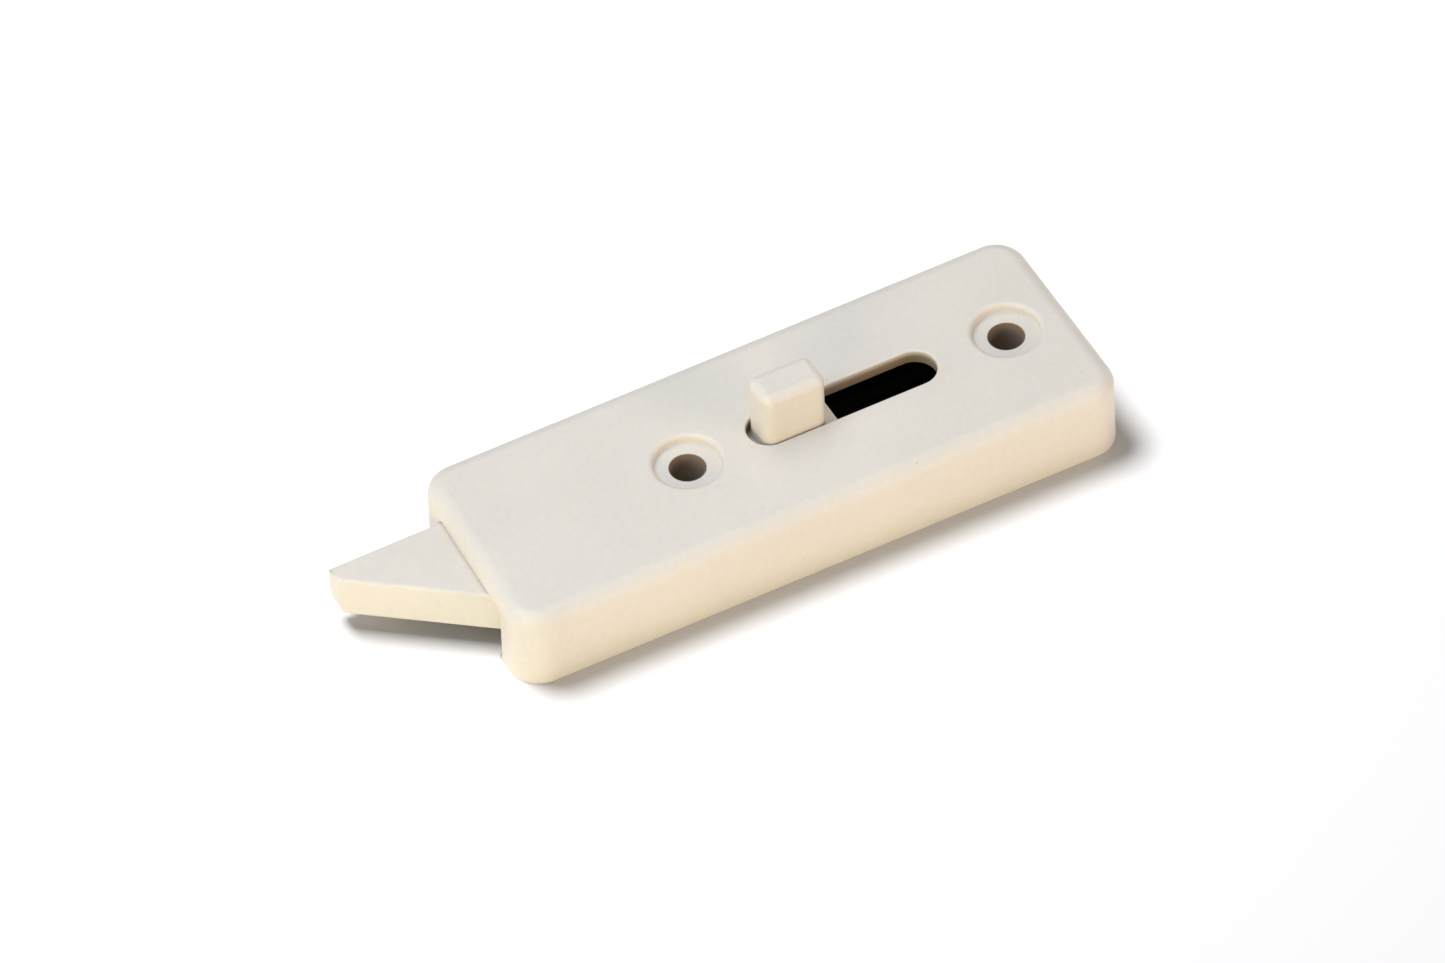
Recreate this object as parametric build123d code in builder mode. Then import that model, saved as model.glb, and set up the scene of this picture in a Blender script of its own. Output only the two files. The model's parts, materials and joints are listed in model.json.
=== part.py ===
from build123d import *
import os

# Surface-mounted spring latch with a bevelled bolt and a thumb button.
# Millimetres. The origin is midway between the two mounting holes, on the mounting face.
# The bolt throws along -X, +Z points out of the mounting face, and the bevel faces -Y.

# Mounting
screw_spacing = 50.0
screw_hole_radius = 2.6
screw_recess_radius = 4.8
screw_recess_depth = 1.3
screw_boss_radius = 4.2

# Housing
front_x = -59.2  # outer end face on the centre line, where the bolt comes out
rear_x = 34.6
housing_width = 33.8
housing_height = 12.5
front_slant = 0.054  # the front end leans this far along X for each mm of Y
corner_radius = 4.7
top_edge_radius = 2.3
side_wall = 2.2
rear_wall = 2.4
ceiling_z = 10.3
cavity_front_x = -56.0
cavity_corner_radius = 2.5
recess_rim_radius = 0.7
recess_floor_radius = 0.2

# Mouth for the bolt, open down to the mounting face
mouth_half_width = 9.85
mouth_top_z = 9.7
mouth_corner_radius = 1.2
mouth_edge_radius = 0.35

# Thumb slot
slot_left_x = -15.45
slot_right_x = 13.8
slot_width = 6.5
slot_rim_radius = 0.25

# Bolt
travel = 17.0
bolt_bottom_z = 2.85
bolt_top_z = 9.5
bolt_half_width = 9.6
nose_taper = 0.25  # the straight side of the nose leans in towards the tip
bolt_tip_x = -76.1
bolt_rear_x = -2.8
bevel_start_y = 6.78
bevel_slope = 0.785  # Y over X along the bevel, about 38 degrees
bevel_nose_radius = 1.2
nose_corner_radius = 0.8
nose_edge_radius = 0.45
nose_base_radius = 0.4
tip_curve_depth = 0.6  # the end of the tip curves in this far below
tip_curve_top_z = 6.6
stop_gap = 0.05
shoulder_half_width = 13.6
shoulder_corner_radius = 2.0
shoulder_rear_x = -49.0
boss_clearance = 0.3

# Thumb button, whose flange fills the gap between the bolt and the ceiling
button_left_x = -14.1
button_right_x = -4.35
button_width = 6.0
button_top_z = 20.9
button_corner_radius = 1.6
button_top_radius = 1.3
flange_overhang = 2.05
flange_width = 10.6
flange_gap = 0.05
stem_length = 6.0
stem_width = 4.0
stem_depth = 2.4

# Springs, one on each side of the bolt's rails
spring_y = 12.1
spring_seat_x = -20.6
spring_mean_radius = 1.85
spring_wire_radius = 0.185
spring_turns = 13
spring_end_gap = 0.04
spigot_radius = 1.3
spigot_length = 3.0

# Ribs
rib_thickness = 1.6
guide_clearance = 0.1
side_guide_end_x = 18.0
side_guide_bottom_z = 3.3
guide_rib_y = 7.0
guide_rib_front_x = -50.0
guide_rib_rear_x = 16.0

# Back plate and its screws
plate_bottom_z = 0.4
plate_top_z = 1.9
plate_front_x = -53.0
plate_edge_gap = 0.1
plate_corner_radius = 2.4
plate_screw_front_x = -14.0
plate_screw_rear_x = 29.0
plate_screw_y = 12.2
plate_boss_radius = 2.3
thread_radius = 1.1
pilot_radius = 0.95
plate_screw_length = 7.0
flat_head_radius = 2.0
flat_head_depth = 1.1
pan_head_radius = 2.0
pan_head_height = 1.4
pan_head_recess_radius = 2.3
pan_head_recess_depth = 1.7
button_screw_length = 11.5
drive_recess_size = 1.9
drive_recess_width = 0.45
drive_recess_depth = 0.8
pilot_extra_depth = 0.6

half_width = housing_width / 2
inner_half_width = half_width - side_wall
cavity_rear_x = rear_x - rear_wall
screw_x = screw_spacing / 2
screw_places = [(-screw_x, 0), (screw_x, 0)]
plate_screw_places = [
    (x, y) for x in (plate_screw_front_x, plate_screw_rear_x) for y in (-plate_screw_y, plate_screw_y)
]
bolt_thickness = bolt_top_z - bolt_bottom_z
bolt_middle_z = (bolt_top_z + bolt_bottom_z) / 2
button_x = (button_left_x + button_right_x) / 2
button_length = button_right_x - button_left_x
side_guide_y = bolt_half_width + guide_clearance + rib_thickness / 2


def box_between(x_low, x_high, y_low, y_high, z_low, z_high, mode=Mode.ADD):
    """A block between opposite corners, joined to or cut from the part being built."""
    with Locations(((x_low + x_high) / 2, (y_low + y_high) / 2, (z_low + z_high) / 2)):
        Box(x_high - x_low, y_high - y_low, z_high - z_low, mode=mode)


def finish(part, name):
    """Label a piece and write it to its own file."""
    os.makedirs("parts", exist_ok=True)
    part.label = name
    export_step(part, f"parts/{name}.step")


# Housing: an open-backed moulded shell
lean = front_slant * half_width
housing_corners = [
    (front_x - lean, -half_width),
    (rear_x, -half_width),
    (rear_x, half_width),
    (front_x + lean, half_width),
]

with BuildPart() as housing:
    with BuildSketch() as outline:
        with BuildLine():
            Polyline(*housing_corners, close=True)
        make_face()
        fillet(outline.vertices(), corner_radius)
    extrude(amount=housing_height)
    fillet(housing.faces().sort_by(Axis.Z)[-1].edges(), top_edge_radius)

    # Mouth through the front end wall
    with BuildSketch(Plane.YZ.offset(front_x - lean)) as mouth_outline:
        with Locations((0, mouth_top_z / 2)):
            Rectangle(2 * mouth_half_width, mouth_top_z)
        fillet(mouth_outline.vertices().group_by(Axis.Z)[-1], mouth_corner_radius)
    extrude(amount=cavity_front_x - front_x + lean, mode=Mode.SUBTRACT)
    front_face = housing.faces().filter_by(GeomType.PLANE).group_by(Axis.X)[0][0]
    mouth_rim = front_face.edges().filter_by_position(
        Axis.Y, -mouth_half_width, mouth_half_width
    ).filter_by_position(Axis.Z, 0, mouth_top_z, (False, True))
    fillet(mouth_rim, mouth_edge_radius)

    # Cavity
    with BuildSketch():
        with Locations(((cavity_front_x + cavity_rear_x) / 2, 0)):
            RectangleRounded(cavity_rear_x - cavity_front_x, 2 * inner_half_width, cavity_corner_radius)
    extrude(amount=ceiling_z, mode=Mode.SUBTRACT)

    # Bosses for the two mounting screws, down to the mounting face
    with BuildSketch():
        with Locations(*screw_places):
            Circle(screw_boss_radius)
    extrude(amount=housing_height - screw_recess_depth)

    # Bosses for the back plate's screws
    with BuildSketch(Plane.XY.offset(plate_top_z)):
        with Locations(*plate_screw_places):
            Circle(plate_boss_radius)
    extrude(amount=ceiling_z - plate_top_z)

    # Side guides for the bolt, the spring seats in front of them, and their spigots
    for side in (-1, 1):
        guide_low, guide_high = sorted(
            (side * (side_guide_y - rib_thickness / 2), side * (side_guide_y + rib_thickness / 2))
        )
        seat_low, seat_high = sorted((side * (side_guide_y - rib_thickness / 2), side * inner_half_width))
        box_between(spring_seat_x, side_guide_end_x, guide_low, guide_high, side_guide_bottom_z, ceiling_z)
        box_between(
            spring_seat_x, spring_seat_x + rib_thickness, seat_low, seat_high, plate_top_z, ceiling_z
        )
        with BuildSketch(Plane.YZ.offset(spring_seat_x)):
            with Locations((side * spring_y, bolt_middle_z)):
                Circle(spigot_radius)
        extrude(amount=-spigot_length)

        # Guide rib that bears on the top of the bolt
        box_between(
            guide_rib_front_x,
            spring_seat_x,
            side * guide_rib_y - rib_thickness / 2,
            side * guide_rib_y + rib_thickness / 2,
            bolt_top_z + guide_clearance,
            ceiling_z,
        )

    # Rib from the rear screw boss to the rear wall
    box_between(
        screw_x + screw_hole_radius + rib_thickness / 2,
        cavity_rear_x,
        -rib_thickness / 2,
        rib_thickness / 2,
        plate_top_z,
        ceiling_z,
    )

    # Thumb slot
    with BuildSketch(Plane.XY.offset(ceiling_z)):
        with Locations(((slot_left_x + slot_right_x) / 2, 0)):
            SlotOverall(slot_right_x - slot_left_x, slot_width)
    extrude(amount=housing_height - ceiling_z, mode=Mode.SUBTRACT)

    # Mounting screw holes and their round recesses
    with Locations(*[(x, y, housing_height) for x, y in screw_places]):
        CounterBoreHole(screw_hole_radius, screw_recess_radius, screw_recess_depth)
    recess_floor = housing.edges().filter_by(GeomType.CIRCLE).filter_by_position(
        Axis.Z, housing_height - screw_recess_depth, housing_height - screw_recess_depth
    )
    fillet([e for e in recess_floor if abs(e.radius - screw_recess_radius) < 0.01], recess_floor_radius)
    recess_rim = housing.edges().filter_by(GeomType.CIRCLE).filter_by_position(
        Axis.Z, housing_height, housing_height
    )
    fillet([e for e in recess_rim if abs(e.radius - screw_recess_radius) < 0.01], recess_rim_radius)
    slot_rim = housing.edges().filter_by_position(Axis.Z, housing_height, housing_height).filter_by_position(
        Axis.X, slot_left_x, slot_right_x
    ).filter_by_position(Axis.Y, -slot_width / 2, slot_width / 2)
    fillet(slot_rim, slot_rim_radius)

    # Pilot holes for the back plate's screws
    with BuildSketch(Plane.XY.offset(plate_top_z)):
        with Locations(*plate_screw_places):
            Circle(pilot_radius)
    extrude(amount=plate_screw_length - plate_top_z + plate_bottom_z + pilot_extra_depth, mode=Mode.SUBTRACT)
finish(housing.part, "housing")


# Back plate: closes the back and carries the ribs that the bolt slides on
plate_rear_x = cavity_rear_x - plate_edge_gap
with BuildPart() as back_plate:
    with BuildSketch(Plane.XY.offset(plate_bottom_z)):
        with Locations(((plate_front_x + plate_rear_x) / 2, 0)):
            RectangleRounded(
                plate_rear_x - plate_front_x, 2 * (inner_half_width - plate_edge_gap), plate_corner_radius
            )
        with Locations(*screw_places):
            Circle(screw_boss_radius + plate_edge_gap, mode=Mode.SUBTRACT)
    extrude(amount=plate_top_z - plate_bottom_z)
    for side in (-1, 1):
        box_between(
            plate_front_x,
            guide_rib_rear_x,
            side * guide_rib_y - rib_thickness / 2,
            side * guide_rib_y + rib_thickness / 2,
            plate_top_z,
            bolt_bottom_z - guide_clearance,
        )
    with Locations(*[(x, y, plate_bottom_z) for x, y in plate_screw_places]):
        Cone(
            flat_head_radius + plate_edge_gap,
            thread_radius + plate_edge_gap,
            flat_head_depth,
            align=(Align.CENTER, Align.CENTER, Align.MIN),
            mode=Mode.SUBTRACT,
        )
        Cylinder(
            thread_radius + plate_edge_gap,
            plate_top_z - plate_bottom_z,
            align=(Align.CENTER, Align.CENTER, Align.MIN),
            mode=Mode.SUBTRACT,
        )
finish(back_plate.part, "back_plate")


# Four flat-head self-tapping screws that hold the back plate
with BuildPart() as plate_screws:
    with Locations(*[(x, y, plate_bottom_z) for x, y in plate_screw_places]):
        Cone(flat_head_radius, thread_radius, flat_head_depth, align=(Align.CENTER, Align.CENTER, Align.MIN))
        Cylinder(thread_radius, plate_screw_length, align=(Align.CENTER, Align.CENTER, Align.MIN))
    chamfer(
        plate_screws.faces().filter_by(Axis.Z).group_by(Axis.Z)[-1].edges(),
        length=2 * thread_radius / 3,
    )
    with BuildSketch(Plane.XY.offset(plate_bottom_z)):
        with Locations(*plate_screw_places):
            Rectangle(drive_recess_size, drive_recess_width)
            Rectangle(drive_recess_width, drive_recess_size)
    extrude(amount=drive_recess_depth, mode=Mode.SUBTRACT)
finish(plate_screws.part, "plate_screws")


# Latch bolt: a bevelled nose, shoulders that stop it, and rails past the front screw boss
shoulder_front_x = cavity_front_x + stop_gap
bevel_end_x = bolt_tip_x + (bevel_start_y + bolt_half_width) / bevel_slope
nose_rear_x = shoulder_rear_x - nose_base_radius
tip_curve_height = tip_curve_top_z - bolt_bottom_z
tip_curve_radius = (tip_curve_height**2 + tip_curve_depth**2) / (2 * tip_curve_depth)
window_front_x = -screw_x - screw_boss_radius - boss_clearance - travel
window_rear_x = -screw_x + screw_boss_radius + boss_clearance
window_width = 2 * (screw_boss_radius + boss_clearance)

with BuildPart() as latch_bolt:
    with BuildSketch(Plane.XY.offset(bolt_bottom_z)) as nose_outline:
        with BuildLine():
            Polyline(
                (nose_rear_x, bolt_half_width),
                (bolt_tip_x, bolt_half_width - nose_taper),
                (bolt_tip_x, bevel_start_y),
                (bevel_end_x, -bolt_half_width),
                (nose_rear_x, -bolt_half_width),
                close=True,
            )
        make_face()
        tip_corners = nose_outline.vertices().sort_by(Axis.X)[:2].sort_by(Axis.Y)
        fillet(tip_corners[0], bevel_nose_radius)
        fillet(tip_corners[1], nose_corner_radius)
    extrude(amount=bolt_thickness)
    with BuildSketch(Plane.XZ.offset(-bolt_half_width)):
        with BuildLine():
            tip_curve = RadiusArc(
                (bolt_tip_x, tip_curve_top_z),
                (bolt_tip_x + tip_curve_depth, bolt_bottom_z),
                -tip_curve_radius,
            )
            Polyline(tip_curve @ 0, (bolt_tip_x, bolt_bottom_z), tip_curve @ 1)
        make_face()
    extrude(amount=2 * bolt_half_width, mode=Mode.SUBTRACT)
    fillet(latch_bolt.faces().sort_by(Axis.Z)[-1].edges(), nose_edge_radius)
    fillet(latch_bolt.faces().sort_by(Axis.Z)[0].edges(), nose_base_radius)

    with BuildSketch(Plane.XY.offset(bolt_bottom_z)) as shoulder_outline:
        with Locations(((shoulder_front_x + shoulder_rear_x) / 2, 0)):
            Rectangle(shoulder_rear_x - shoulder_front_x, 2 * shoulder_half_width)
        fillet(shoulder_outline.vertices().group_by(Axis.X)[0], shoulder_corner_radius)
    extrude(amount=bolt_thickness)
    box_between(shoulder_rear_x, bolt_rear_x, -bolt_half_width, bolt_half_width, bolt_bottom_z, bolt_top_z)

    # Window for the front screw boss
    with BuildSketch(Plane.XY.offset(bolt_bottom_z)):
        with Locations(((window_front_x + window_rear_x) / 2, 0)):
            SlotOverall(window_rear_x - window_front_x, window_width)
    extrude(amount=bolt_thickness, mode=Mode.SUBTRACT)

    # Spigots inside the springs
    with BuildSketch(Plane.YZ.offset(shoulder_rear_x)):
        with Locations((-spring_y, bolt_middle_z), (spring_y, bolt_middle_z)):
            Circle(spigot_radius)
    extrude(amount=spigot_length)

    # Pocket for the button's stem, and the recessed screw that holds it
    box_between(
        button_x - stem_length / 2,
        button_x + stem_length / 2,
        -stem_width / 2,
        stem_width / 2,
        bolt_top_z - stem_depth,
        bolt_top_z,
        Mode.SUBTRACT,
    )
    with Locations(Plane((button_x, 0, bolt_bottom_z), z_dir=(0, 0, -1))):
        CounterBoreHole(thread_radius + guide_clearance, pan_head_recess_radius, pan_head_recess_depth)
finish(latch_bolt.part, "latch_bolt")


# Thumb button: a block that stands through the slot, on a flange under the housing's ceiling
with BuildPart() as thumb_button:
    with BuildSketch(Plane.XY.offset(bolt_top_z)):
        with Locations((button_x, 0)):
            RectangleRounded(button_length, button_width, button_corner_radius)
    extrude(amount=button_top_z - bolt_top_z)
    fillet(thumb_button.faces().sort_by(Axis.Z)[-1].edges(), button_top_radius)
    box_between(
        button_left_x - flange_overhang,
        button_right_x + flange_overhang,
        -flange_width / 2,
        flange_width / 2,
        bolt_top_z,
        ceiling_z - flange_gap,
    )
    box_between(
        button_x - stem_length / 2,
        button_x + stem_length / 2,
        -stem_width / 2,
        stem_width / 2,
        bolt_top_z - stem_depth,
        bolt_top_z,
    )
    with BuildSketch(Plane.XY.offset(bolt_top_z - stem_depth)):
        with Locations((button_x, 0)):
            Circle(pilot_radius)
    button_pilot_top_z = bolt_bottom_z + pan_head_recess_depth + button_screw_length - pan_head_height
    extrude(amount=button_pilot_top_z + pilot_extra_depth - bolt_top_z + stem_depth, mode=Mode.SUBTRACT)
finish(thumb_button.part, "thumb_button")


# Pan-head screw that draws the button down onto the bolt
head_seat_z = bolt_bottom_z + pan_head_recess_depth
with BuildPart() as button_screw:
    with BuildSketch(Plane.XY.offset(head_seat_z)):
        with Locations((button_x, 0)):
            Circle(pan_head_radius)
    extrude(amount=-pan_head_height)
    fillet(button_screw.faces().sort_by(Axis.Z)[0].edges(), pan_head_height / 2)
    with BuildSketch(Plane.XY.offset(head_seat_z)):
        with Locations((button_x, 0)):
            Circle(thread_radius)
    extrude(amount=button_screw_length - pan_head_height)
    chamfer(button_screw.faces().sort_by(Axis.Z)[-1].edges(), length=2 * thread_radius / 3)
    with BuildSketch(Plane.XY.offset(head_seat_z - pan_head_height)):
        with Locations((button_x, 0)):
            Rectangle(drive_recess_size, drive_recess_width)
            Rectangle(drive_recess_width, drive_recess_size)
    extrude(amount=drive_recess_depth, mode=Mode.SUBTRACT)
finish(button_screw.part, "button_screw")


# Compression springs between the shoulders and their seats
coil_front_x = shoulder_rear_x + spring_wire_radius + spring_end_gap
coil_rear_x = spring_seat_x - spring_wire_radius - spring_end_gap
coil_length = coil_rear_x - coil_front_x

for spring_name, side in (("left_spring", 1), ("right_spring", -1)):
    with BuildPart() as spring:
        with BuildLine():
            coil = Helix(
                pitch=coil_length / spring_turns,
                height=coil_length,
                radius=spring_mean_radius,
                center=(coil_front_x, side * spring_y, bolt_middle_z),
                direction=(1, 0, 0),
            )
        with BuildSketch(Plane(origin=coil @ 0, z_dir=coil % 0)):
            Circle(spring_wire_radius)
        sweep(path=coil, is_frenet=True)
    finish(spring.part, spring_name)
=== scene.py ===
import json
from math import cos, pi, radians, sin, tau

import bmesh
import bpy
from mathutils import Matrix, Vector


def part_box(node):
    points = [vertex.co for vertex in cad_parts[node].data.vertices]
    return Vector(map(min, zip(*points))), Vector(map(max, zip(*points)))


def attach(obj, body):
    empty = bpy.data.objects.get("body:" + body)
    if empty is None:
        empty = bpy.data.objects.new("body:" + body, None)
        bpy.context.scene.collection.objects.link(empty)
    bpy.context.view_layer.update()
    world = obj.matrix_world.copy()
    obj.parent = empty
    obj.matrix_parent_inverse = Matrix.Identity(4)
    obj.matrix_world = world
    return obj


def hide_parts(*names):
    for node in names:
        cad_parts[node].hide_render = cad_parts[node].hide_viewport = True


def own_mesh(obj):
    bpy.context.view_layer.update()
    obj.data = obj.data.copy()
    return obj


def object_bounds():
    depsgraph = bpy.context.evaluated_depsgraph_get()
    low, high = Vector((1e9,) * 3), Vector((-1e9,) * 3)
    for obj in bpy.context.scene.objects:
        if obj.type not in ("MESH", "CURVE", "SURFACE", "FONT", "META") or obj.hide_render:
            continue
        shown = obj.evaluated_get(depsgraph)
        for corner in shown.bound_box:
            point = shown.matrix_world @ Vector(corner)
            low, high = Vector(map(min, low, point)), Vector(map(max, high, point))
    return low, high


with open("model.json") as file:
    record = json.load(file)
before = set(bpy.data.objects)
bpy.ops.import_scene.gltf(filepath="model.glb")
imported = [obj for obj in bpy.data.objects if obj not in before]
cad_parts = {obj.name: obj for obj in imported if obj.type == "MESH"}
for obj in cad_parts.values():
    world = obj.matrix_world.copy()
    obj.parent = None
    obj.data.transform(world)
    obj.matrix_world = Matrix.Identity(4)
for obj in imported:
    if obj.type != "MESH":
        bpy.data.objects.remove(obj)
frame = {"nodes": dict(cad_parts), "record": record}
cad_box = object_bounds()

MM = 0.001
MICRON = 0.000001


# ---------------------------------------------------------------- node helpers

def add_node(tree, kind, inputs=None, **settings):
    """A shader node with its settings made and its inputs set to values or linked to sockets."""
    made = tree.nodes.new("ShaderNode" + kind)
    for key, value in settings.items():
        setattr(made, key, value)
    for key, value in (inputs or {}).items():
        if isinstance(value, bpy.types.NodeSocket):
            tree.links.new(value, made.inputs[key])
        else:
            made.inputs[key].default_value = value
    return made


def object_place(tree):
    """The surface point in metres, which stays with the piece as it moves."""
    return add_node(tree, "TexCoord").outputs["Object"]


def noise(tree, place, size, detail=2.0, stretch=(1, 1, 1)):
    """Soft noise from 0 to 1 whose blotches are about size metres across."""
    scaled = add_node(tree, "Mapping", {"Vector": place, "Scale": stretch})
    made = add_node(
        tree, "TexNoise", {"Vector": scaled.outputs["Vector"], "Scale": 1 / size, "Detail": detail}
    )
    return made.outputs["Fac"]


def remap(tree, value, low, high, to_low, to_high):
    """Value from low..high taken smoothly to to_low..to_high."""
    made = add_node(
        tree,
        "MapRange",
        {"Value": value, "From Min": low, "From Max": high, "To Min": to_low, "To Max": to_high},
        interpolation_type="SMOOTHSTEP",
    )
    return made.outputs["Result"]


def mix_colour(tree, share, first, second, blend="MIX"):
    made = add_node(tree, "Mix", data_type="RGBA", blend_type=blend)
    for socket, value in ((made.inputs[0], share), (made.inputs[6], first), (made.inputs[7], second)):
        if isinstance(value, bpy.types.NodeSocket):
            tree.links.new(value, socket)
        else:
            socket.default_value = value
    return made.outputs[2]


def bump(tree, height, distance, strength=1.0, under=None):
    """Surface relief, where a height of 1 stands for distance metres. under is a relief it adds to."""
    inputs = {"Height": height, "Distance": distance, "Strength": strength}
    if under is not None:
        inputs["Normal"] = under
    return add_node(tree, "Bump", inputs).outputs["Normal"]


def new_material(name):
    """A node material with only a Principled shader, and its tree and shader."""
    made = bpy.data.materials.new(name)
    made.use_nodes = True
    tree = made.node_tree
    tree.nodes.clear()
    shader = add_node(tree, "BsdfPrincipled")
    output = add_node(tree, "OutputMaterial")
    tree.links.new(shader.outputs["BSDF"], output.inputs["Surface"])
    return made, tree, shader


def rgb(red, green, blue):
    """A colour given in screen values from 0 to 255, as a linear one."""
    linear = [((v / 255 + 0.055) / 1.055) ** 2.4 for v in (red, green, blue)]
    return (*linear, 1.0)


# ------------------------------------------------------------------- materials

MOUNT = next(mount for mount in frame["record"]["mounts"] if mount["name"] == "screw_holes")
SCREW_SPACING = MOUNT["dims"]["spacing_x_mm"] * MM
SCREW_HOLE_RADIUS = MOUNT["dims"]["hole_r_mm"] * MM
SLOT_HALF_WIDTH = 3.25 * MM
PAINTED_SHADE_FADE = 0.15 * MM  # how softly the painted shade ends past a wall


def specks(tree, place, cell, radius):
    """A mask of sparse round specks: 1 in a speck of about that radius, 0 elsewhere."""
    cells = add_node(tree, "TexVoronoi", {"Vector": place, "Scale": 1 / cell, "Randomness": 1.0})
    return remap(tree, cells.outputs["Distance"], 0.6 * radius / cell, radius / cell, 1.0, 0.0)


def calculate(tree, operation, first, second=0.0):
    """The result of a sum on two values, each a number or a socket."""
    return add_node(tree, "Math", {0: first, 1: second}, operation=operation).outputs["Value"]


def housing_painted_shade(tree, place):
    """A mask of painted shade on the housing: 1 on the walls of the screw holes and thumb slot,
    where the colour is darkened to stand in for the shade that falls there."""
    axes = add_node(tree, "SeparateXYZ", {"Vector": place}).outputs
    along = calculate(tree, "SUBTRACT", calculate(tree, "ABSOLUTE", axes["X"]), SCREW_SPACING / 2)
    flat_place = add_node(tree, "CombineXYZ", {"X": along, "Y": axes["Y"]}).outputs["Vector"]
    from_hole = add_node(tree, "VectorMath", {0: flat_place}, operation="LENGTH").outputs["Value"]
    in_hole = remap(tree, from_hole, SCREW_HOLE_RADIUS, SCREW_HOLE_RADIUS + PAINTED_SHADE_FADE, 1.0, 0.0)

    from_middle = calculate(tree, "ABSOLUTE", axes["Y"])
    in_slot = remap(tree, from_middle, SLOT_HALF_WIDTH, SLOT_HALF_WIDTH + PAINTED_SHADE_FADE, 1.0, 0.0)
    clear_of_recess = -8.0 * MM
    between_holes = remap(tree, along, clear_of_recess, clear_of_recess + 0.1 * MM, 1.0, 0.0)
    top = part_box("housing")[1].z
    below_rim = remap(tree, axes["Z"], top - 1.2 * MM, top - 0.2 * MM, 1.0, 0.0)
    in_slot = calculate(tree, "MULTIPLY", in_slot, between_holes)
    in_slot = calculate(tree, "MULTIPLY", in_slot, below_rim)
    return calculate(tree, "MAXIMUM", in_hole, in_slot)


def moulded_plastic(name, pale, deep, roughness, rub=0.0, rub_stretch=(1, 1, 1), painted_shade_mask=None):
    """Ivory moulded plastic: faint clouding, fine grain, slight waviness and a few dark specks.
    rub is how much the long sliding marks show in the gloss, and rub_stretch is the way they run.
    The last argument gives the mask of painted shade, where the colour is darkened in place of shade."""
    made, tree, shader = new_material(name)
    place = object_place(tree)

    clouds = remap(tree, noise(tree, place, 14 * MM, 3.0), 0.3, 0.7, 0.0, 1.0)
    mottle = remap(tree, noise(tree, place, 0.9 * MM, 4.0), 0.3, 0.7, 0.0, 1.0)
    grain = noise(tree, place, 0.16 * MM, 2.0)
    waviness = noise(tree, place, 7 * MM, 1.0)

    colour = mix_colour(tree, clouds, pale, deep)
    fine = mix_colour(tree, mottle, (1.0, 1.0, 1.0, 1.0), (0.975, 0.972, 0.965, 1.0))
    colour = mix_colour(tree, 1.0, colour, fine, "MULTIPLY")
    speck = specks(tree, place, 4.2 * MM, 0.12 * MM)
    fleck = specks(tree, place, 2.6 * MM, 0.07 * MM)
    for mask, strength in ((speck, 0.55), (fleck, 0.4)):
        share = remap(tree, mask, 0.0, 1.0, 0.0, strength)
        colour = mix_colour(tree, share, colour, rgb(98, 86, 74))
    # Painted shade: the colour is darkened on the hole and slot walls to stand in for shade falling
    # there
    if painted_shade_mask:
        painted_shade_colour = mix_colour(tree, 1.0, colour, (0.47, 0.38, 0.3, 1.0), "MULTIPLY")
        colour = mix_colour(tree, painted_shade_mask(tree, place), colour, painted_shade_colour)
    tree.links.new(colour, shader.inputs["Base Color"])

    gloss = remap(tree, mottle, 0.0, 1.0, roughness - 0.05, roughness + 0.05)
    if rub:
        marks = noise(tree, place, 1.6 * MM, 5.0, rub_stretch)
        shine = remap(tree, marks, 0.45, 0.7, 0.0, -rub)
        gloss = add_node(tree, "Math", {0: gloss, 1: shine}, operation="ADD").outputs["Value"]
    tree.links.new(gloss, shader.inputs["Roughness"])

    relief = bump(tree, waviness, 0.02 * MM, 0.6)
    relief = bump(tree, grain, 0.012 * MM, 0.5, relief)
    relief = bump(tree, remap(tree, speck, 0.0, 1.0, 1.0, 0.0), 0.03 * MM, 0.6, relief)
    tree.links.new(relief, shader.inputs["Normal"])

    shader.inputs["IOR"].default_value = 1.5
    shader.inputs["Subsurface Weight"].default_value = 0.12
    shader.inputs["Subsurface Radius"].default_value = (1.0, 0.7, 0.4)
    shader.inputs["Subsurface Scale"].default_value = 0.6 * MM
    return made


def black_plastic():
    """Black moulded plastic of the back plate, with a coarser grain and pale scuffs."""
    made, tree, shader = new_material("black_back_plate")
    place = object_place(tree)
    clouds = noise(tree, place, 9 * MM, 4.0)
    grain = noise(tree, place, 0.3 * MM, 2.0)
    scuffs = remap(tree, noise(tree, place, 2.5 * MM, 6.0, (0.35, 1.4, 1)), 0.62, 0.72, 0.0, 0.35)
    colour = mix_colour(tree, clouds, rgb(17, 16, 16), rgb(26, 25, 25))
    colour = mix_colour(tree, scuffs, colour, rgb(52, 50, 49))
    tree.links.new(colour, shader.inputs["Base Color"])
    tree.links.new(remap(tree, clouds, 0.3, 0.7, 0.5, 0.66), shader.inputs["Roughness"])
    tree.links.new(bump(tree, grain, 0.02 * MM, 0.7), shader.inputs["Normal"])
    return made


def metal(name, bright, dull, roughness, streak_size, stretch):
    """Plated or drawn steel: streaks along the stretch axis in colour and gloss."""
    made, tree, shader = new_material(name)
    place = object_place(tree)
    streaks = noise(tree, place, streak_size, 3.0, stretch)
    patina = noise(tree, place, 3 * MM, 3.0)
    colour = mix_colour(tree, remap(tree, patina, 0.35, 0.7, 0.0, 1.0), bright, dull)
    tree.links.new(colour, shader.inputs["Base Color"])
    gloss = remap(tree, streaks, 0.3, 0.7, roughness - 0.08, roughness + 0.1)
    tree.links.new(gloss, shader.inputs["Roughness"])
    tree.links.new(bump(tree, streaks, 0.01 * MM, 0.4), shader.inputs["Normal"])
    shader.inputs["Metallic"].default_value = 1.0
    return made


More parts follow.
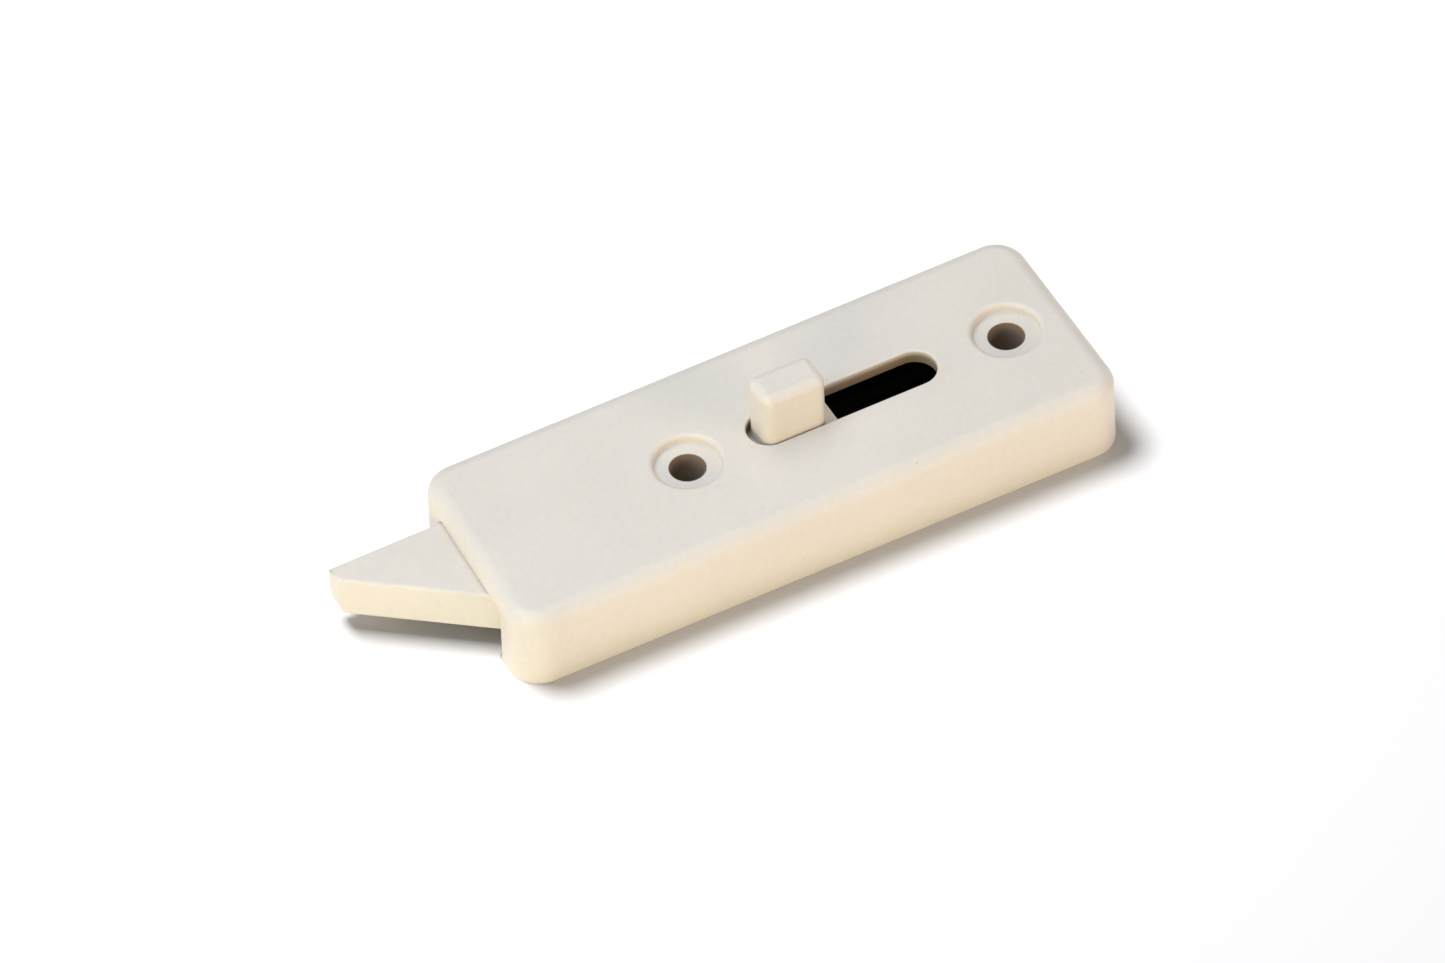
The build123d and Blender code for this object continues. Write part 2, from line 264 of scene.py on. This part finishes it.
IVORY_PALE = rgb(222, 213, 196)
IVORY_DEEP = rgb(219, 210, 193)
MATERIALS = {
    # The housing's screw hole and thumb slot walls get painted shade
    "housing": moulded_plastic("ivory_housing", IVORY_PALE, IVORY_DEEP, 0.5, painted_shade_mask=housing_painted_shade),
    "latch_bolt": moulded_plastic("ivory_bolt", IVORY_PALE, IVORY_DEEP, 0.46, 0.1, (0.12, 1, 1)),
    "thumb_button": moulded_plastic("ivory_button", IVORY_PALE, IVORY_DEEP, 0.44, 0.06, (1, 1, 0.4)),
    "back_plate": black_plastic(),
}
STEEL = metal("zinc_plated_steel", rgb(196, 198, 200), rgb(150, 152, 152), 0.34, 0.4 * MM, (1, 1, 0.2))
WIRE = metal("drawn_spring_wire", rgb(120, 120, 122), rgb(86, 85, 84), 0.3, 0.25 * MM, (0.3, 1, 1))


# ----------------------------------------------------- the moulded pieces (CAD)

SHARP_ANGLE = radians(38)


def smooth_shading(piece):
    """Joins a moulded piece's faces into one skin, smooth over rounded edges and crisp at corners."""
    weld = piece.modifiers.new("weld", "WELD")
    weld.merge_threshold = 2 * MICRON
    normals = piece.modifiers.new("normals", "WEIGHTED_NORMAL")
    normals.mode = "FACE_AREA"
    normals.weight = 60
    normals.keep_sharp = True


for node_name, material in MATERIALS.items():
    piece = frame["nodes"][node_name]
    for cad_slot in piece.material_slots:
        cad_slot.material = material
    smooth_shading(piece)


# --------------------------------------------------------------- mesh builders

def mesh_piece(name, mesh, material, body, slot_name, *nodes):
    """A finished piece that rides on a body and stands for CAD nodes."""
    made = bpy.data.objects.new(name, mesh)
    bpy.context.scene.collection.objects.link(made)
    mesh.materials.clear()
    mesh.materials.append(material)
    mesh.polygons.foreach_set("use_smooth", [True] * len(mesh.polygons))
    mesh.set_sharp_from_angle(angle=SHARP_ANGLE)
    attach(made, body)
    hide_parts(*nodes)
    return made


def skin_rings(rings, name):
    """A closed mesh over rings of points, each ring with as many points, capped at both ends."""
    built = bmesh.new()
    loops = [[built.verts.new(point) for point in ring] for ring in rings]
    count = len(rings[0])
    for ring, following in zip(loops, loops[1:]):
        for i in range(count):
            j = (i + 1) % count
            built.faces.new((ring[i], ring[j], following[j], following[i]))
    built.faces.new(list(reversed(loops[0])))
    built.faces.new(loops[-1])
    bmesh.ops.recalc_face_normals(built, faces=built.faces)
    mesh = bpy.data.meshes.new(name)
    built.to_mesh(mesh)
    built.free()
    return mesh


# ---------------------------------------------------------------------- springs

WIRE_RADIUS = 0.185 * MM
SPRING_TURNS = 13
CLOSED_TURNS = 1.25  # dead turns at each end, wire against wire
STEPS_PER_TURN = 40
WIRE_SIDES = 14
GROUND_DEPTH = 0.3  # share of the wire's radius that grinding takes off each end


def turn_advance(turn, closed_pitch, open_pitch):
    """How fast the coil climbs at a given turn: closed at both ends and open between."""
    from_end = min(turn, SPRING_TURNS - turn)
    share = min(max((from_end - CLOSED_TURNS) / 0.5 + 0.5, 0), 1)
    return closed_pitch + (open_pitch - closed_pitch) * share * share * (3 - 2 * share)


def coil_centreline(length):
    """Turn angles and places along the axis, for that length between the end wires' centres."""
    steps = SPRING_TURNS * STEPS_PER_TURN
    turns = [SPRING_TURNS * i / steps for i in range(steps + 1)]
    closed_pitch = 2 * WIRE_RADIUS
    open_share = sum(turn_advance(t, 0, 1) for t in turns[1:]) / steps
    open_pitch = (length / SPRING_TURNS - closed_pitch * (1 - open_share)) / open_share
    places = [0.0]
    for turn in turns[1:]:
        places.append(places[-1] + turn_advance(turn, closed_pitch, open_pitch) * SPRING_TURNS / steps)
    stretch = length / places[-1]
    return [(tau * turn, place * stretch) for turn, place in zip(turns, places)]


def coil_spring(node_name):
    """A compression spring with closed, ground ends, in the space of its CAD node."""
    low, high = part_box(node_name)
    middle = (low + high) / 2
    mean_radius = (high.y - low.y) / 2 - WIRE_RADIUS
    grind = GROUND_DEPTH * WIRE_RADIUS
    first = low.x + WIRE_RADIUS - grind
    rings = []
    for angle, place in coil_centreline(high.x - low.x - 2 * (WIRE_RADIUS - grind)):
        outward = Vector((0, cos(angle), sin(angle)))
        centre = Vector((first + place, middle.y, middle.z)) + mean_radius * outward
        ring = []
        for i in range(WIRE_SIDES):
            around = tau * i / WIRE_SIDES
            point = centre + WIRE_RADIUS * (cos(around) * outward + sin(around) * Vector((1, 0, 0)))
            point.x = min(max(point.x, low.x), high.x)
            ring.append(point)
        rings.append(ring)
    name = node_name + "_coil"
    piece = mesh_piece(name, skin_rings(rings, name), WIRE, "housing_body", "spring_wire", node_name)
    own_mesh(piece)


coil_spring("left_spring")
coil_spring("right_spring")


# ----------------------------------------------------------------------- screws

SCREW_SIDES = 48
THREAD_PITCH = 0.8 * MM
THREAD_DEPTH = 0.22 * MM
RINGS_PER_PITCH = 10


def thread_profile(phase):
    """Depth of the thread's groove, from 0 at the crest to 1 at the root, over one turn."""
    saw = abs((phase % 1.0) - 0.5) * 2
    return min(max((saw - 0.2) / 0.6, 0), 1)


def screw_mesh(name, head_profile, shank_radius, shank_start, length, point_length):
    """A self-tapping screw along +Z from its head at z = 0.
    head_profile is pairs of radius and height from the head's centre outwards."""
    rings = [[(r * cos(a), r * sin(a), z) for a in ring_angles()] for r, z in head_profile]
    steps = int((length - shank_start) / THREAD_PITCH * RINGS_PER_PITCH)
    for i in range(steps + 1):
        z = shank_start + (length - shank_start) * i / steps
        run_in = min((z - shank_start) / (0.5 * THREAD_PITCH), 1)
        to_tip = (length - z) / point_length
        crest = shank_radius * min(1, 0.45 + 0.55 * to_tip)
        ring = []
        for a in ring_angles():
            groove = THREAD_DEPTH * run_in * thread_profile(z / THREAD_PITCH - a / tau)
            r = crest - groove * min(1, to_tip + 0.2)
            ring.append((r * cos(a), r * sin(a), z))
        rings.append(ring)
    return skin_rings(rings, name)


def ring_angles():
    return [tau * i / SCREW_SIDES for i in range(SCREW_SIDES)]


def cross_cutter(reach, width, depth):
    """A tapered cross that cuts a driver recess of that reach, width and depth at z = 0."""
    built = bmesh.new()
    half = width / 2
    outline = []
    for quarter in range(4):
        turn = Matrix.Rotation(quarter * pi / 2, 3, "Z")
        arm = ((reach / 2, -half, 0), (reach / 2, half, 0), (half, half, 0))
        outline += [turn @ Vector(corner) for corner in arm]
    levels = []
    for height, scale in ((-0.1 * depth, 1.05), (depth * 0.75, 0.62), (depth, 0.3)):
        levels.append([built.verts.new((p.x * scale, p.y * scale, height)) for p in outline])
    count = len(outline)
    for lower, upper in zip(levels, levels[1:]):
        for i in range(count):
            j = (i + 1) % count
            built.faces.new((lower[i], lower[j], upper[j], upper[i]))
    built.faces.new(list(reversed(levels[0])))
    built.faces.new(levels[-1])
    bmesh.ops.recalc_face_normals(built, faces=built.faces)
    mesh = bpy.data.meshes.new("cross_cutter")
    built.to_mesh(mesh)
    built.free()
    return mesh


def cut(mesh, cutter_mesh, name):
    """The first mesh less the second."""
    body = bpy.data.objects.new(name, mesh)
    tool = bpy.data.objects.new("cutter", cutter_mesh)
    for made in (body, tool):
        bpy.context.scene.collection.objects.link(made)
    boolean = body.modifiers.new("recess", "BOOLEAN")
    boolean.operation = "DIFFERENCE"
    boolean.solver = "EXACT"
    boolean.object = tool
    depsgraph = bpy.context.evaluated_depsgraph_get()
    result = bpy.data.meshes.new_from_object(body.evaluated_get(depsgraph))
    for made in (body, tool):
        bpy.data.objects.remove(made)
    result.name = name
    return result


SHANK_RADIUS = 1.1 * MM
POINT_LENGTH = 1.6 * MM
FLAT_HEAD_RADIUS = 2.0 * MM
FLAT_HEAD_DEPTH = 1.1 * MM
PAN_HEAD_HEIGHT = 1.4 * MM
PAN_HEAD_STEP = 0.1 * MM  # fillet under the pan head
RECESS_REACH = 2.0 * MM
RECESS_WIDTH = 0.5 * MM
RECESS_DEPTH = 0.85 * MM


def flat_head_profile(radius, shank_radius, depth):
    """Countersunk head from the centre of its flat face to the shank."""
    edge = 0.08 * MM
    return [
        (0.35 * radius, 0.0),
        (0.7 * radius, 0.0),
        (radius - edge, 0.0),
        (radius, edge),
        (radius, 2 * edge),
        (shank_radius, depth),
    ]


def pan_head_profile(radius, shank_radius, height):
    """Rounded pan head from the centre of its crown to the shank."""
    points = [(radius * 0.3, 0.0)]
    steps = 8
    for i in range(steps + 1):
        around = pi / 2 * i / steps
        points.append((radius * (0.45 + 0.55 * sin(around)), height * 0.55 * (1 - cos(around))))
    points += [
        (radius, height),
        (shank_radius + PAN_HEAD_STEP, height),
        (shank_radius, height + PAN_HEAD_STEP),
    ]
    return points


def plate_screw_pieces():
    """Four countersunk screws, one at each end of the CAD node's solids."""
    low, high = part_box("plate_screws")
    length = high.z - low.z
    profile = flat_head_profile(FLAT_HEAD_RADIUS, SHANK_RADIUS, FLAT_HEAD_DEPTH)
    for i, x in enumerate((low.x + FLAT_HEAD_RADIUS, high.x - FLAT_HEAD_RADIUS)):
        for j, y in enumerate((low.y + FLAT_HEAD_RADIUS, high.y - FLAT_HEAD_RADIUS)):
            name = f"plate_screw_{2 * i + j + 1}"
            solid = screw_mesh(name, profile, SHANK_RADIUS, FLAT_HEAD_DEPTH, length, POINT_LENGTH)
            mesh = cut(solid, cross_cutter(RECESS_REACH, RECESS_WIDTH, RECESS_DEPTH), name)
            turn = Matrix.Rotation(0.7 * i + 1.9 * j, 4, "Z")
            mesh.transform(Matrix.Translation((x, y, low.z)) @ turn)
            mesh_piece(name, mesh, STEEL, "housing_body", "screw_steel", "plate_screws")


def button_screw_piece():
    """The pan-head screw under the thumb button."""
    low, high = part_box("button_screw")
    middle = (low + high) / 2
    name = "button_pan_screw"
    length = high.z - low.z
    profile = pan_head_profile((high.x - low.x) / 2, SHANK_RADIUS, PAN_HEAD_HEIGHT)
    shank_start = PAN_HEAD_HEIGHT + PAN_HEAD_STEP
    solid = screw_mesh(name, profile, SHANK_RADIUS, shank_start, length, POINT_LENGTH)
    mesh = cut(solid, cross_cutter(RECESS_REACH, RECESS_WIDTH, RECESS_DEPTH), name)
    mesh.transform(Matrix.Translation((middle.x, middle.y, low.z)) @ Matrix.Rotation(0.4, 4, "Z"))
    mesh_piece(name, mesh, STEEL, "bolt_body", "screw_steel", "button_screw")


plate_screw_pieces()
button_screw_piece()


# ------------------------------------------------------------------------ stage

def lit_set(name, pieces):
    """A set of pieces that a light can be kept to."""
    made = bpy.data.collections.new(name)
    for piece in pieces:
        made.objects.link(piece)
    return made


def floor():
    """A pale floor under the mounting face."""
    size = 3.0
    bpy.ops.mesh.primitive_plane_add(size=size, location=(0, 0, cad_box[0].z - 20 * MICRON))
    made = bpy.context.object
    made.name = "studio_floor"
    material, tree, shader = new_material("pale_floor")
    tone = noise(tree, object_place(tree), 0.3, 2.0)
    tree.links.new(
        mix_colour(tree, tone, (0.93, 0.925, 0.915, 1.0), (0.94, 0.935, 0.925, 1.0)),
        shader.inputs["Base Color"],
    )
    shader.inputs["Roughness"].default_value = 0.9
    shader.inputs["Specular IOR Level"].default_value = 0.1
    made.data.materials.append(material)
    return made


def area_light(name, direction, distance, size, watts, lit):
    """A soft round light in that direction from the object and aimed at it.
    It lights only the pieces in lit. watts is its power in red, green and blue."""
    lamp = bpy.data.lights.new(name, "AREA")
    lamp.shape = "DISK"
    lamp.size = size
    lamp.energy = max(watts)
    lamp.color = [share / max(watts) for share in watts]
    made = bpy.data.objects.new(name, lamp)
    toward = Vector(direction).normalized()
    made.location = (cad_box[0] + cad_box[1]) / 2 + toward * distance
    made.rotation_euler = toward.to_track_quat("Z", "Y").to_euler()
    made.visible_camera = False
    made.light_linking.receiver_collection = lit
    bpy.context.scene.collection.objects.link(made)


def from_angles(azimuth, elevation):
    """The direction at that azimuth and elevation. Azimuth 0 is from the front (-Y) and 90 from +X."""
    a, e = radians(azimuth), radians(elevation)
    return Vector((sin(a) * cos(e), -cos(a) * cos(e), sin(e)))


def studio_world(colour, strength):
    world = bpy.data.worlds.new("studio")
    world.use_nodes = True
    background = world.node_tree.nodes["Background"]
    background.inputs["Color"].default_value = (*colour, 1.0)
    background.inputs["Strength"].default_value = strength
    bpy.context.scene.world = world


def camera():
    """A long lens at the photograph's angle: azimuth and elevation of the viewer, and a slight roll."""
    azimuth, elevation, roll = -26.29, 46.33, radians(-2.735)
    distance, width_seen = 5.5, 199.66 * MM
    aim_right, aim_up = 1.05 * MM, -2.92 * MM
    back = from_angles(azimuth, elevation)
    level_right = Vector((cos(radians(azimuth)), sin(radians(azimuth)), 0))
    level_up = back.cross(level_right)
    right = cos(roll) * level_right + sin(roll) * level_up
    up = back.cross(right)
    lens = bpy.data.cameras.new("camera")
    lens.sensor_width = 36
    lens.lens = lens.sensor_width * distance / width_seen
    lens.clip_start, lens.clip_end = 0.1, 20
    made = bpy.data.objects.new("camera", lens)
    aim = (cad_box[0] + cad_box[1]) / 2 + aim_right * right + aim_up * up
    place = aim + (distance - back.dot(aim)) * back
    made.matrix_world = Matrix.Translation(place) @ Matrix((right, up, back)).transposed().to_4x4()
    bpy.context.scene.collection.objects.link(made)
    bpy.context.scene.camera = made


# The object's own soft lights, and a key light that only the floor takes
object_set = lit_set("lit_object", [o for o in bpy.context.scene.objects if o.type == "MESH"])
floor_set = lit_set("lit_floor", [floor()])
area_light("top_back", (0, 0.5, 0.87), 0.8, 0.6, (2.36, 2.16, 1.91), object_set)
area_light("top_left", (-0.5, 0, 0.87), 0.8, 0.6, (2.2, 2.83, 4.35), object_set)
area_light("top_right", (0.5, 0, 0.87), 0.8, 0.6, (0.45, 0.74, 0.91), object_set)
area_light("low_left", from_angles(-50, 14), 1.0, 0.5, (3.75, 3.38, 1.58), object_set)
area_light("low_right", from_angles(35, 14), 1.0, 0.5, (4.4, 3.55, 3.45), object_set)
area_light("low_end", from_angles(-85, 20), 1.0, 0.5, (1.98, 1.77, 1.76), object_set)
area_light("floor_key", (-0.2, 0.34, 0.92), 0.9, 0.45, (9.3, 9.3, 9.6), floor_set)
studio_world((1.0, 1.0, 1.0), 0.2)
camera()
bpy.context.scene.view_settings.view_transform = "Standard"
